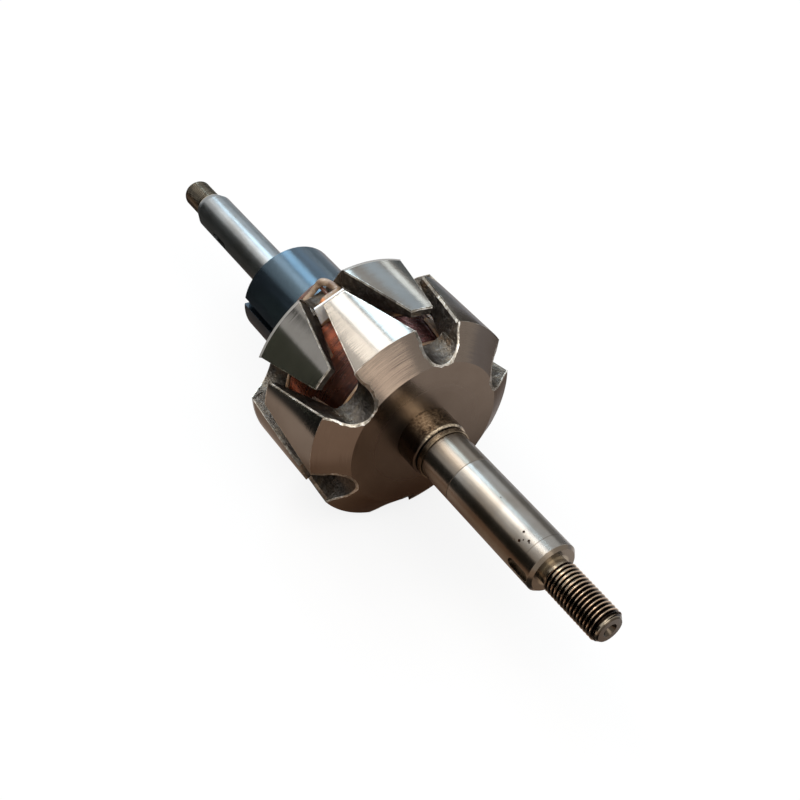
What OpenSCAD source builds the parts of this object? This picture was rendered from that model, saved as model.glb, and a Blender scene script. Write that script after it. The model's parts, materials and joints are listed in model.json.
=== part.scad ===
// Claw-pole alternator rotor. X is the axis of rotation and +X is the drive end.
// The origin is on the axis, at the front edge of the abutment that the drive-end bearing
// sits against. +Z is up as the rotor lies on its claws.

/* [Pole pieces] */
// Outside diameter over the claws
pole_d = 108; // [98:1:118]
// Distance between the rims, where the two outer bevels start
rim_span = 52; // [46:1:58]
// Axial depth of the bevel between a rim and its flat outer face
bevel_depth = 9.8; // [6:0.2:12]
// Diameter of the flat outer face
face_d = 78; // [70:1:86]
// How far the plate of a pole piece reaches inward of its rim
plate_depth = 5; // [4:0.5:8]
// Length of a claw from the rim to its tip
claw_length = 40; // [34:0.5:43]
// Width of a claw at the rim
claw_root_w = 32; // [28:0.5:33]
// Width of a claw at its tip
claw_tip_w = 11.4; // [8:0.2:14]
// Thickness of a claw at its root
claw_root_t = 13; // [12.6:0.2:14]
// Thickness of a claw at its tip
claw_tip_t = 4; // [3:0.2:6]
// Draft of the two flanks of a claw, in degrees
claw_draft = 8; // [0:1:10]
// Radius of the rounded bottom of a notch between two claws
notch_r = 9.6; // [8:0.2:10]
// Distance from the axis to the bottom of a notch
notch_floor = 38.7; // [38:0.1:40]

/* [Shaft] */
// Diameter of the drive-end bearing seat
front_seat_d = 25; // [22:0.5:25]
// Distance from the front rim to the shoulder at the front thread
front_seat_end = 102.2; // [90:0.2:112]
// Major diameter of the front thread
front_thread_d = 16; // [14:0.5:18]
// Length of the front thread with its undercut
front_thread_l = 35.4; // [28:0.2:42]
// Diameter of the rear bearing seat
rear_seat_d = 20; // [18:0.5:22]
// Distance from the rear rim to the end of the rear seat
rear_seat_end = 138; // [126:1:150]
// Major diameter of the rear thread
rear_thread_d = 15; // [12:0.5:16]
// Length of the rear thread past its cone
rear_thread_l = 17.5; // [14:0.5:22]
// Width of the key slots
key_w = 5; // [4:0.5:6]
// Depth of the key slots
key_depth = 2.6; // [2:0.1:3]

/* [Collar and sleeve] */
// Wall of the front collar
collar_t = 1.6; // [0.8:0.1:2.6]
// Length of the front collar
collar_l = 12.6; // [8:0.2:16]
// Wall of the thin ring in front of the collar
ring_t = 0.6; // [0.4:0.1:1]
// Width of the thin ring
ring_w = 2.4; // [1.6:0.2:3]
// Outside diameter of the rear sleeve
sleeve_d = 51.2; // [44:0.2:56]
// Length of the rear sleeve
sleeve_l = 49.4; // [40:0.2:56]

/* [Winding] */
// Outside diameter of the field coil
coil_d = 78.2; // [74:0.2:78.2]
// Wall of the bobbin
bobbin_t = 1.2; // [0.8:0.1:1.4]
// How far a petal of the bobbin reaches under its claw
petal_l = 19.2; // [14:0.2:22]
// How far the lead guard of the bobbin stands out past the petals
guard_h = 10.4; // [5:0.1:10.8]
// Diameter of a lead wire
lead_d = 1.9; // [1.6:0.1:2.2]
// Diameter of the sleeving on the first lead
sleeving_d = 2.8; // [2.4:0.1:3]

/* [Hidden] */
$fn = 96;
CLAWS = 6;
claw_step = 360 / CLAWS;
// Turn of the rotor about its axis as it lies
front_phase = 106;
rear_phase = front_phase - claw_step / 2;

pole_r = pole_d / 2;
plate_r = pole_r - 9;
core_r = 27.5;
front_r = front_seat_d / 2;
rear_r = rear_seat_d / 2;
// Steps on the shaft: under the collar and ring, inside the sleeve, and inside the poles
collar_seat_r = front_r + 0.2;
collar_r = collar_seat_r + collar_t;
sleeve_seat_r = rear_r + 0.5;
hub_r = max(front_r, rear_r) + 0.5;

front_face_x = bevel_depth;
rear_face_x = -rim_span - bevel_depth;
centre_x = -rim_span / 2;
collar_end_x = front_face_x + collar_l;
ring_gap = 1;
ring_start_x = collar_end_x + ring_gap;
ring_end_x = ring_start_x + ring_w;
sleeve_end_x = rear_face_x - sleeve_l;
front_end_x = front_seat_end + front_thread_l;
rear_seat_x = -rim_span - rear_seat_end;
rear_cone_l = 5.4;
rear_cone_r = rear_thread_d / 2 + 0.6;
rear_thread_x = rear_seat_x - rear_cone_l;
rear_end_x = rear_thread_x - rear_thread_l;

bobbin_in_r = core_r + 0.3;
flange_gap = 0.3;
flange_out_x = plate_depth + flange_gap;
flange_in_x = flange_out_x + bobbin_t;
petal_r = pole_r - claw_root_t - 0.6;
coil_r = min(coil_d / 2, petal_r - bobbin_t - 0.3);
petal_root_w = 21;
petal_tip_w = 12;

guard_w = 16;
guard_side = 6.7;
guard_t = 1;

lead_r = lead_d / 2;
sleeving_r = sleeving_d / 2;
// The leads cross the rear notch at front_phase and run side by side along the rear face
lead_floor_r = max(notch_floor, petal_r * cos(claw_step / 4)) + lead_r + 0.3;
lead_arch_r = lead_floor_r + 3;
lead_top_r = petal_r + guard_h - 1;
lead_face_r = lead_floor_r - 1.1;
lead_out_x = -rim_span + flange_in_x - 0.2;
lead_down_x = rear_face_x - lead_r - 0.3;
lead_back_x = lead_down_x - lead_d - 0.3;
lead_slot_angles = [front_phase + 17, front_phase + 26];
sleeve_r = sleeve_d / 2;
lead_end_r = sleeve_r - 2.2;

// Carries the model from the rim-based layout to the frame's origin.
module placed() translate([-ring_end_x, 0, 0]) children();

// Revolves a list of [radius, x] points about the X axis.
module turned(profile) rotate([0, 90, 0]) rotate_extrude() polygon(profile);

// Turns children about the axis, so that what points along +Y points at the angle.
module at_angle(angle) rotate([angle, 0, 0]) children();

// Extrudes a flat outline of [y, z] points along X between two stations.
module across(x_from, x_to)
    translate([x_from, 0, 0]) rotate([90, 0, 90]) linear_extrude(x_to - x_from) children();

// A tapered slab on the +Y side: w_root wide at x_root and w_tip wide at x_tip.
module wedge(x_root, x_tip, w_root, w_tip, height)
    rotate([-90, 0, 0]) linear_extrude(height)
        polygon([[x_root, -w_root / 2], [x_root, w_root / 2],
            [x_tip, w_tip / 2], [x_tip, -w_tip / 2]]);

// Open-ended notch on the +Y side, with a round floor and walls that part toward the rim.
module notch_outline() {
    centre_y = notch_floor + notch_r;
    mouth_y = pole_r + 2;
    mouth = pole_r * sin(claw_step / 2 - asin(claw_root_w / 2 / pole_r)) + 1;
    translate([centre_y, 0]) circle(notch_r);
    polygon([[centre_y, -notch_r], [mouth_y, -mouth], [mouth_y, mouth], [centre_y, notch_r]]);
}

// Half-space that leaves the inner side of a claw's +Z flank.
module claw_flank(side)
    mirror([0, 0, side]) translate([0, pole_r - 1.2, claw_root_w / 2])
        rotate([0, -atan2((claw_root_w - claw_tip_w) / 2, claw_length), 0])
            rotate([claw_draft, 0, 0])
                translate([-claw_length - 20, -40, -50]) cube([claw_length + 40, 60, 50]);

// One pole piece with its rim at x = 0, its face toward +X and its claws toward -X.
module pole_piece() {
    difference() {
        turned([[hub_r, -plate_depth], [hub_r, bevel_depth], [face_d / 2, bevel_depth],
            [pole_r, 0], [plate_r, 0], [plate_r, -plate_depth]]);
        for (i = [0:CLAWS - 1]) at_angle((i + 0.5) * claw_step)
            across(-plate_depth - 1, bevel_depth + 1) notch_outline();
    }
    turned([[hub_r, -rim_span / 2], [hub_r, -plate_depth + 1],
        [core_r, -plate_depth + 1], [core_r, -rim_span / 2]]);
    for (i = [0:CLAWS - 1]) intersection() {
        turned([[pole_r - claw_root_t, 0], [pole_r, 0], [pole_r, -claw_length],
            [pole_r - claw_tip_t, -claw_length], [pole_r - claw_root_t, -plate_depth]]);
        at_angle(i * claw_step) claw_flank(0);
        at_angle(i * claw_step) claw_flank(1);
    }
}

// One thin flange of the bobbin at the front, with a petal folded under each claw.
module petal_flange() {
    petal_end_x = -flange_out_x - petal_l;
    petal_in_r = petal_r - bobbin_t;
    difference() {
        across(-flange_in_x, -flange_out_x)
            rotate(claw_step / 4) circle(petal_r, $fn = 2 * CLAWS);
        across(-flange_in_x - 1, -flange_out_x + 1) circle(bobbin_in_r + bobbin_t / 2);
    }
    for (i = [0:CLAWS - 1]) intersection() {
        turned([[petal_in_r - 2, -flange_out_x], [petal_r, -flange_out_x], [petal_r, petal_end_x],
            [petal_in_r, petal_end_x], [petal_in_r, -flange_in_x], [petal_in_r - 2, -flange_in_x]]);
        at_angle(i * claw_step)
            wedge(-flange_out_x, petal_end_x, petal_root_w, petal_tip_w, petal_r + 1);
    }
}

// Upright tab of the bobbin in the rear notch, where the leads come out.
module lead_guard() {
    foot_x = -rim_span + flange_out_x;
    wall_x = -rim_span + flange_in_x + 1.1;
    foot_y = coil_r + 0.1;
    translate([foot_x, foot_y - 1, -guard_side]) cube([bobbin_t, 2, guard_w]);
    translate([foot_x, foot_y, -guard_side]) cube([wall_x + guard_t - foot_x, 1, guard_w]);
    translate([wall_x, foot_y, -guard_side]) cube([guard_t, petal_r + guard_h - foot_y, guard_w]);
}

// A wire's route is a list of [x, distance from the axis, angle, radius of the wire].
function cut_corners(route) = concat([route[0]],
    [for (i = [0:len(route) - 2]) each [route[i] * 0.75 + route[i + 1] * 0.25,
        route[i] * 0.25 + route[i + 1] * 0.75]], [route[len(route) - 1]]);
function place(p) = [p[0], p[1] * cos(p[2]), p[1] * sin(p[2])];
function unit(v) = v / norm(v);
function heading(path, i) =
    unit(path[min(i + 1, len(path) - 1)] - path[max(i - 1, 0)]);
// Carries a normal along the path so that the rings don't twist.
function ring_normals(path, i, last) = i == len(path) ? []
    : let (t = heading(path, i), n = unit(last - (last * t) * t))
        concat([n], ring_normals(path, i + 1, n));

// Round wire along a route.
module wire_along(route) {
    sides = 8;
    fine = cut_corners(cut_corners(route));
    path = [for (p = fine) place(p)];
    normals = ring_normals(path, 0, [0, 0, 1]);
    rings = [for (i = [0:len(path) - 1])
        let (n = normals[i], b = cross(heading(path, i), n))
        for (j = [0:sides - 1]) let (a = 360 * j / sides)
            path[i] + fine[i][3] * (n * cos(a) + b * sin(a))];
    last = (len(path) - 1) * sides;
    polyhedron(rings, concat(
        [[for (j = [0:sides - 1]) j]],
        [for (i = [0:len(path) - 2]) for (j = [0:sides - 1]) let (n = (j + 1) % sides)
            [i * sides + j, (i + 1) * sides + j, (i + 1) * sides + n, i * sides + n]],
        [[for (j = [sides - 1:-1:0]) last + j]]));
}

// Slot for a key, sunk from the surface of a seat of the given radius.
module key_slot(seat_r, x_from, x_to, angle)
    at_angle(angle) {
        translate([x_from, seat_r - key_depth, -key_w / 2])
            cube([x_to - x_from, key_depth + 1, key_w]);
        for (x = [x_from, x_to]) translate([x, seat_r - key_depth, 0])
            rotate([-90, 0, 0]) cylinder(h = key_depth + 1, d = key_w);
    }

module shaft() color("silver") placed() difference() {
    turned([[0, rear_end_x], [rear_thread_d / 2 - 1.6, rear_end_x],
        [rear_thread_d / 2, rear_end_x + 2.2], [rear_thread_d / 2, rear_thread_x],
        [rear_cone_r, rear_thread_x], [rear_r, rear_seat_x],
        [rear_r, sleeve_end_x], [sleeve_seat_r, sleeve_end_x], [sleeve_seat_r, rear_face_x],
        [hub_r, rear_face_x], [hub_r, front_face_x], [collar_seat_r, front_face_x],
        [collar_seat_r, ring_end_x], [front_r, ring_end_x],
        [front_r, front_seat_end - 1.6], [front_r - 1.4, front_seat_end],
        [front_thread_d / 2 - 1.2, front_seat_end],
        [front_thread_d / 2 - 1.2, front_seat_end + 2.6],
        [front_thread_d / 2, front_seat_end + 3.8],
        [front_thread_d / 2, front_end_x - 2.6], [front_thread_d / 2 - 1.9, front_end_x],
        [0, front_end_x]]);
    key_slot(front_r, front_seat_end - 11.8, front_seat_end - 4.3, front_phase + 71);
    key_slot(rear_r, rear_seat_x + 18.5, rear_seat_x + 27, front_phase + 81);
    // centre holes
    translate([front_end_x - 6, 0, 0]) rotate([0, 90, 0]) cylinder(h = 7, d = 3.2);
    translate([front_end_x - 3, 0, 0]) rotate([0, 90, 0]) cylinder(h = 3.01, r1 = 1.6, r2 = 3.3);
    translate([rear_end_x - 1, 0, 0]) rotate([0, 90, 0]) cylinder(h = 7, d = 2.6);
    translate([rear_end_x - 0.01, 0, 0]) rotate([0, 90, 0]) cylinder(h = 2.8, r1 = 2.9, r2 = 1.3);
}

module front_pole() color("dimgray") placed() at_angle(front_phase) pole_piece();

module rear_pole() color("dimgray") placed()
    translate([-rim_span, 0, 0]) mirror([1, 0, 0]) at_angle(rear_phase) pole_piece();

module coil_bobbin() color("tan") placed() {
    at_angle(front_phase) petal_flange();
    translate([-rim_span, 0, 0]) mirror([1, 0, 0]) at_angle(rear_phase) petal_flange();
    at_angle(front_phase) lead_guard();
    turned([[bobbin_in_r, -rim_span + flange_out_x], [bobbin_in_r, -flange_out_x],
        [bobbin_in_r + bobbin_t, -flange_out_x], [bobbin_in_r + bobbin_t, -rim_span + flange_out_x]]);
}

module field_coil() color("saddlebrown") placed()
    turned([[bobbin_in_r + bobbin_t, -rim_span + flange_in_x], [bobbin_in_r + bobbin_t, -flange_in_x],
        [coil_r, -flange_in_x], [coil_r, -rim_span + flange_in_x]]);

module front_collar() color("#2b2019") placed()
    turned([[collar_seat_r, front_face_x], [collar_seat_r, collar_end_x],
        [collar_r - 0.8, collar_end_x], [collar_r, collar_end_x - 0.8], [collar_r, front_face_x]]);

module front_ring() color("#4a3c2c") placed()
    turned([[collar_seat_r, ring_start_x], [collar_seat_r, ring_end_x],
        [collar_seat_r + ring_t, ring_end_x], [collar_seat_r + ring_t, ring_start_x]]);

module rear_sleeve() color("#1c1f24") placed() difference() {
    turned([[sleeve_seat_r, sleeve_end_x], [sleeve_seat_r, rear_face_x], [sleeve_r, rear_face_x],
        [sleeve_r, sleeve_end_x + 0.5], [sleeve_r - 0.5, sleeve_end_x]]);
    // slots that take the two leads
    for (angle = lead_slot_angles) at_angle(angle)
        translate([lead_back_x - lead_r - 0.2, lead_end_r - 0.5, -lead_r - 0.2])
            cube([rear_face_x + 1 - lead_back_x + lead_r + 0.2, sleeve_r, lead_d + 0.4]);
}

// The first lead rises behind the guard, arches through the notch and turns along the face.
module lead_wire_start() color("tan") placed() wire_along([
    [lead_out_x, lead_floor_r + 1.6, front_phase + 7.5, lead_r],
    [lead_out_x, lead_top_r - 3.4, front_phase + 7, lead_r],
    [lead_out_x - 0.2, lead_top_r - 0.4, front_phase + 4.6, lead_r],
    [lead_out_x - 0.4, lead_top_r, front_phase + 1, lead_r],
    [lead_out_x - 0.6, lead_top_r - 0.6, front_phase - 3, lead_r],
    [rear_face_x + 13.4, lead_top_r - 2.6, front_phase - 7, lead_r],
    [rear_face_x + 10, lead_arch_r + 1.2, front_phase - 8.2, sleeving_r],
    [rear_face_x + 3, lead_arch_r, front_phase - 8, sleeving_r],
    [lead_down_x + 0.4, lead_arch_r, front_phase - 5, sleeving_r],
    [lead_down_x, lead_arch_r - 2, front_phase - 1, lead_r],
    [lead_down_x, lead_face_r, front_phase + 5, lead_r],
    [lead_down_x, lead_face_r - 0.6, front_phase + 12, lead_r],
    [lead_down_x, lead_face_r - 5.6, lead_slot_angles[0], lead_r],
    [lead_down_x, lead_end_r, lead_slot_angles[0], lead_r]]);

// The second lead passes under the first and follows it along the face.
module lead_wire_end() color("sienna") placed() wire_along([
    [lead_out_x - 0.8, lead_floor_r + 0.8, front_phase - 0.5, lead_r],
    [rear_face_x + 11, lead_floor_r + 0.6, front_phase - 2, lead_r],
    [rear_face_x + 5, lead_floor_r + 0.2, front_phase - 3.4, lead_r],
    [rear_face_x - 0.4, lead_floor_r + 0.1, front_phase - 3.8, lead_r],
    [lead_back_x + 0.5, lead_floor_r, front_phase - 3.4, lead_r],
    [lead_back_x, lead_floor_r - 0.3, front_phase - 0.5, lead_r],
    [lead_back_x, lead_face_r + 0.2, front_phase + 5, lead_r],
    [lead_back_x, lead_face_r - 0.5, front_phase + 14, lead_r],
    [lead_back_x, lead_face_r - 5, lead_slot_angles[1], lead_r],
    [lead_back_x, lead_end_r, lead_slot_angles[1], lead_r]]);

shaft();
front_pole();
rear_pole();
coil_bobbin();
field_coil();
front_collar();
front_ring();
rear_sleeve();
lead_wire_start();
lead_wire_end();
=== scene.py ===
import json
import math

import bpy
from mathutils import Matrix, Vector


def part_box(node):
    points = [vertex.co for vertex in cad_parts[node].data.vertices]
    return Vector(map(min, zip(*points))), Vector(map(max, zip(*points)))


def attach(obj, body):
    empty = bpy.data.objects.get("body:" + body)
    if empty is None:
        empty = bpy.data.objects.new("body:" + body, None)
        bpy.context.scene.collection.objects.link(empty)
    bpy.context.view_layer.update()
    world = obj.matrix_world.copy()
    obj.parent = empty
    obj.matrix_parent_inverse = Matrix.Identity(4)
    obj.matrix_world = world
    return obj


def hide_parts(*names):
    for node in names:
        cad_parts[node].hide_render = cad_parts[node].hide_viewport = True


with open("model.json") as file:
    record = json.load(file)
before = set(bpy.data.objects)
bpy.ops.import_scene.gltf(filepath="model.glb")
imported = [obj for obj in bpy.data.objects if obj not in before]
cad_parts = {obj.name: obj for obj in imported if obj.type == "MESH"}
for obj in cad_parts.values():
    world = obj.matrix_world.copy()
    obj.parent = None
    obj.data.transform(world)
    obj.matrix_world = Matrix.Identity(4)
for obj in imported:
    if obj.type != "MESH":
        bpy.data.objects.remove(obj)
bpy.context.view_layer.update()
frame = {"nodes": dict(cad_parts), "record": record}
mm = 0.001
scene = bpy.context.scene
mounts = {mount["name"]: mount for mount in frame["record"]["mounts"]}


def low(node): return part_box(node)[0]
def high(node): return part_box(node)[1]


frontFaceX = low("front_collar").x       # flat outer face of the front pole piece
rearFaceX = high("rear_sleeve").x        # and of the rear one
middleX = (frontFaceX + rearFaceX) / 2
poleR = high("front_pole").z
rimX = 26 * mm                           # from the middle to a rim
floorZ = low("front_pole").z

cameraSizes = {"place": (0.30621738, -0.22840504, 0.41237688), "right": (0.555328579, 0.831631030, 0.0),
               "up": (-0.58529931, 0.39083851, 0.71040128), "lens": 57.149, "sensor": 36}


def placeCamera():
    camera = bpy.data.objects.new("camera", bpy.data.cameras.new("camera"))
    scene.collection.objects.link(camera)
    right, up = Vector(cameraSizes["right"]), Vector(cameraSizes["up"])
    camera.matrix_world = Matrix((right, up, right.cross(up))).transposed().to_4x4()
    camera.matrix_world.translation = cameraSizes["place"]
    camera.data.sensor_width, camera.data.lens = cameraSizes["sensor"], cameraSizes["lens"]
    camera.data.clip_start = 0.01
    scene.camera = camera


placeCamera()
print("camera placed")


class Value:
    # one socket of a node; sums and products on it add the maths nodes
    def __init__(self, finish, socket):
        self.finish, self.socket = finish, socket
        self.wide = socket.type in ("VECTOR", "RGBA")

    def maths(self, operation, *inputs):
        if any(v.wide if isinstance(v, Value) else isinstance(v, tuple) for v in inputs):
            return self.finish.add("ShaderNodeVectorMath", {"operation": operation}, list(inputs))["Vector"]
        return self.finish.add("ShaderNodeMath", {"operation": operation}, list(inputs))["Value"]

    def __add__(self, other): return self.maths("ADD", self, other)
    def __radd__(self, other): return self.maths("ADD", other, self)
    def __sub__(self, other): return self.maths("SUBTRACT", self, other)
    def __rsub__(self, other): return self.maths("SUBTRACT", other, self)
    def __mul__(self, other): return self.maths("MULTIPLY", self, other)
    def __truediv__(self, other): return self.maths("DIVIDE", self, other)
    def __pow__(self, other): return self.maths("POWER", self, other)
    def __abs__(self): return self.maths("ABSOLUTE", self)

    def of(self, operation): return self.maths(operation, self)
    def most(self, other): return self.maths("MAXIMUM", self, other)
    def least(self, other): return self.maths("MINIMUM", self, other)

    def scaled(self, amount):
        return self.finish.add("ShaderNodeVectorMath", {"operation": "SCALE"},
                               {"Vector": self, "Scale": amount})["Vector"]

    def step(self, start, end, fromValue=0.0, toValue=1.0):
        # smooth step from one level to another
        return self.finish.add("ShaderNodeMapRange", {"interpolation_type": "SMOOTHSTEP"},
                               {"Value": self, "From Min": start, "From Max": end,
                                "To Min": fromValue, "To Max": toValue})["Result"]

    def fall(self, start, end): return self.step(start, end, 1.0, 0.0)
    def between(self, start, fullFrom, fullTo, end): return self.step(start, fullFrom) * self.fall(fullTo, end)


class Made:
    # a node just added, whose outputs are asked for by name
    def __init__(self, finish, node): self.finish, self.node = finish, node
    def __getitem__(self, name): return Value(self.finish, self.node.outputs[name])


markSizes = {"flatFrom": 0.93, "flatTo": 0.97,      # how squarely a surface faces along the axis to be an end
             "fine": 14000.0, "fineWander": 60.0, "wide": 1400.0}


class Finish:
    # a material under construction, with the fields that most of its patterns use
    def __init__(self, name, **constants):
        self.material = bpy.data.materials.new(name)
        self.material.use_nodes = True
        self.tree = self.material.node_tree
        self.shader = self.tree.nodes["Principled BSDF"]
        for key, value in constants.items():
            self.shader.inputs[key.replace("_", " ")].default_value = value
        self.spot = self.add("ShaderNodeTexCoord")["Object"]
        parts = self.add("ShaderNodeSeparateXYZ", None, {"Vector": self.spot})
        self.x, self.y, self.z = parts["X"], parts["Y"], parts["Z"]
        self.radius = (self.y * self.y + self.z * self.z) ** 0.5
        self.facing = self.add("ShaderNodeNewGeometry")["Normal"]
        alongAxis = self.add("ShaderNodeSeparateXYZ", None, {"Vector": self.facing})["X"]
        self.flatEnd = abs(alongAxis).step(markSizes["flatFrom"], markSizes["flatTo"])

    def add(self, kind, settings=None, inputs=None):
        node = self.tree.nodes.new(kind)
        for key, value in (settings or {}).items():
            if key == "stops":
                ramp = node.color_ramp
                while len(ramp.elements) < len(value):
                    ramp.elements.new(0.5)
                for element, (place, colour) in zip(ramp.elements, value):
                    element.position = place
                    element.color = (*colour, 1) if isinstance(colour, tuple) else (colour,) * 3 + (1,)
            else:
                setattr(node, key, value)
        pairs = inputs.items() if isinstance(inputs, dict) else enumerate(inputs or [])
        for key, value in pairs:
            self.join(node.inputs[key], value)
        return Made(self, node)

    def join(self, socket, value):
        if isinstance(value, Value):
            self.tree.links.new(value.socket, socket)
        elif socket.type == "RGBA" and len(value) == 3:
            socket.default_value = (*value, 1)
        else:
            socket.default_value = value

    def noise(self, scale, detail=3.0, rough=0.5, at=None, turn=0.0):
        return self.add("ShaderNodeTexNoise", None, {"Vector": at or self.spot, "Scale": scale,
                        "Detail": detail, "Roughness": rough, "Distortion": turn})["Fac"]

    def vector(self, x, y, z):
        return self.add("ShaderNodeCombineXYZ", None, {"X": x, "Y": y, "Z": z})["Vector"]

    def blend(self, amount, first, second, mode="MIX"):
        made = self.add("ShaderNodeMix", {"data_type": "RGBA", "blend_type": mode})
        self.join(made.node.inputs["Factor"], amount)
        self.join(made.node.inputs[6], first)
        self.join(made.node.inputs[7], second)
        return Value(self, made.node.outputs[2])

    def ramp(self, amount, *stops):
        return self.add("ShaderNodeValToRGB", {"stops": list(stops)}, {"Fac": amount})["Color"]

    def marks(self, perMetre, wander=50.0, detail=2.0, rough=0.6):
        # rings round the axis that drift a little on their way round; on a flat end they follow the radius
        return self.noise(1.0, detail, rough, at=self.vector(
            self.x * perMetre, self.radius * self.flatEnd * perMetre + self.y * wander, self.z * wander))

    def turned(self, tilt, sway=0.02):
        # tool marks: the normal rocks across them and not along them
        fine = self.marks(markSizes["fine"], markSizes["fineWander"], 1.0, 0.5)
        wide = self.marks(markSizes["wide"])
        around = self.vector(0.0, self.z * -1.0 / self.radius, self.y / self.radius)
        across = self.add("ShaderNodeVectorMath", {"operation": "CROSS_PRODUCT"},
                          [around, self.facing])["Vector"]
        rocked = self.facing + across.scaled((fine - 0.5) * (2 * tilt) + (wide - 0.5) * (2 * sway))
        return self.add("ShaderNodeVectorMath", {"operation": "NORMALIZE"}, [rocked])["Vector"], wide

    def bump(self, height, distance, normal=None):
        inputs = {"Height": height, "Distance": distance}
        if normal is not None:
            inputs["Normal"] = normal
        return self.add("ShaderNodeBump", None, inputs)["Normal"]

    def finishWith(self, **links):
        for key, value in links.items():
            self.join(self.shader.inputs[key.replace("_", " ")], value)
        return self.material


forgedSizes = {"lumps": 420, "grit": 2200, "pits": 520.0,                    # how many to a metre
               "coarse": 0.45 * mm, "fine": 0.2 * mm, "pitDepth": 0.15 * mm}


def forgedNormal(f, coarse=forgedSizes["coarse"], fine=forgedSizes["fine"]):
    # the rough skin's normal, and the lumps and the grit that it is made of
    s = forgedSizes
    lumps = f.noise(s["lumps"], 3.0, 0.55, turn=0.4)
    grit = f.noise(s["grit"], 3.0, 0.6)
    pits = f.add("ShaderNodeTexVoronoi", {"feature": "F1"}, {"Vector": f.spot, "Scale": s["pits"]})["Distance"]
    rough = f.bump(grit, fine, normal=f.bump(lumps, coarse))
    return f.bump(pits.step(0.05, 0.4), s["pitDepth"], normal=rough), lumps, grit


wearSizes = {"step": math.radians(60), "notchCentre": 48.3 * mm, "notchR": 9.6 * mm, "spread": 0.4325,
             "notchBand": 2.5 * mm, "clawHalf": 16.1 * mm, "clawTaper": 0.2575, "clawLength": 40 * mm,
             "clawBand": 0.9 * mm, "frontUnder": 1.7 * mm, "rearUnder": 0.9 * mm}


def nearestTurn(f, angle, first):
    # cosine and sine of the nearest of the six directions that start at the first
    turn = ((angle - first) / wearSizes["step"]).of("ROUND") * wearSizes["step"] + first
    return turn.of("COSINE"), turn.of("SINE")


def notchGap(f, angle, first):
    # how far a point is from the nearest notch's edge, and the way out of that notch
    w = wearSizes
    cosine, sine = nearestTurn(f, angle, first)
    beyond = f.y * cosine + f.z * sine - w["notchCentre"]
    side = abs(f.z * cosine - f.y * sine) - beyond.most(0.0) * w["spread"]
    below = beyond.least(0.0)
    reach = (below * below + side * side) ** 0.5
    hub = beyond.most(0.0) + w["notchCentre"]
    return reach - w["notchR"], f.vector(0.0, f.y - cosine * hub, f.z - sine * hub).scaled(reach ** -1.0)


def clawGap(f, angle, first, depth):
    # how far a point on a claw's outside is from the claw's edge
    w = wearSizes
    cosine, sine = nearestTurn(f, angle, first + w["step"] / 2)
    half = w["clawHalf"] + depth * w["clawTaper"]
    return (half - abs(f.z * cosine - f.y * sine)).least(depth + w["clawLength"])


poleFinish = {
    "bevelFall": 15.0, "bevelDepth": 9.8, "bevelSlant": 17.92, "faceFrom": 9.3 * mm, "faceTo": 9.6 * mm,
    "cut": (0.13, 0.006), "ground": (0.12, 0.005),      # how far the tool marks tilt and sway
    "hubFrom": 20 * mm, "hubTo": 38 * mm, "hubRough": 0.17,
    "end": ((0.142, 0.110, 0.087), (0.163, 0.129, 0.103)), "endMarks": (0.23, 0.20, 0.17),
    "rim": ((0.205, 0.192, 0.175), (0.235, 0.223, 0.205)), "stain": (0.12, 0.095, 0.07),
    "rust": ((0.28, (0.036, 0.032, 0.030)), (0.48, (0.095, 0.083, 0.072)),
             (0.60, (0.155, 0.132, 0.104)), (0.74, (0.150, 0.088, 0.048))), "lump": (0.26, 0.25, 0.235),
    "worn": ((0.34, (0.16, 0.135, 0.11)), (0.46, (0.50, 0.45, 0.37)), (0.60, (0.78, 0.75, 0.70))),
    "wornDim": (0.17, 0.145, 0.115), "wornRough": 0.16, "dry": (0.30, 0.285, 0.265), "dryRough": 0.3}


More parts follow.
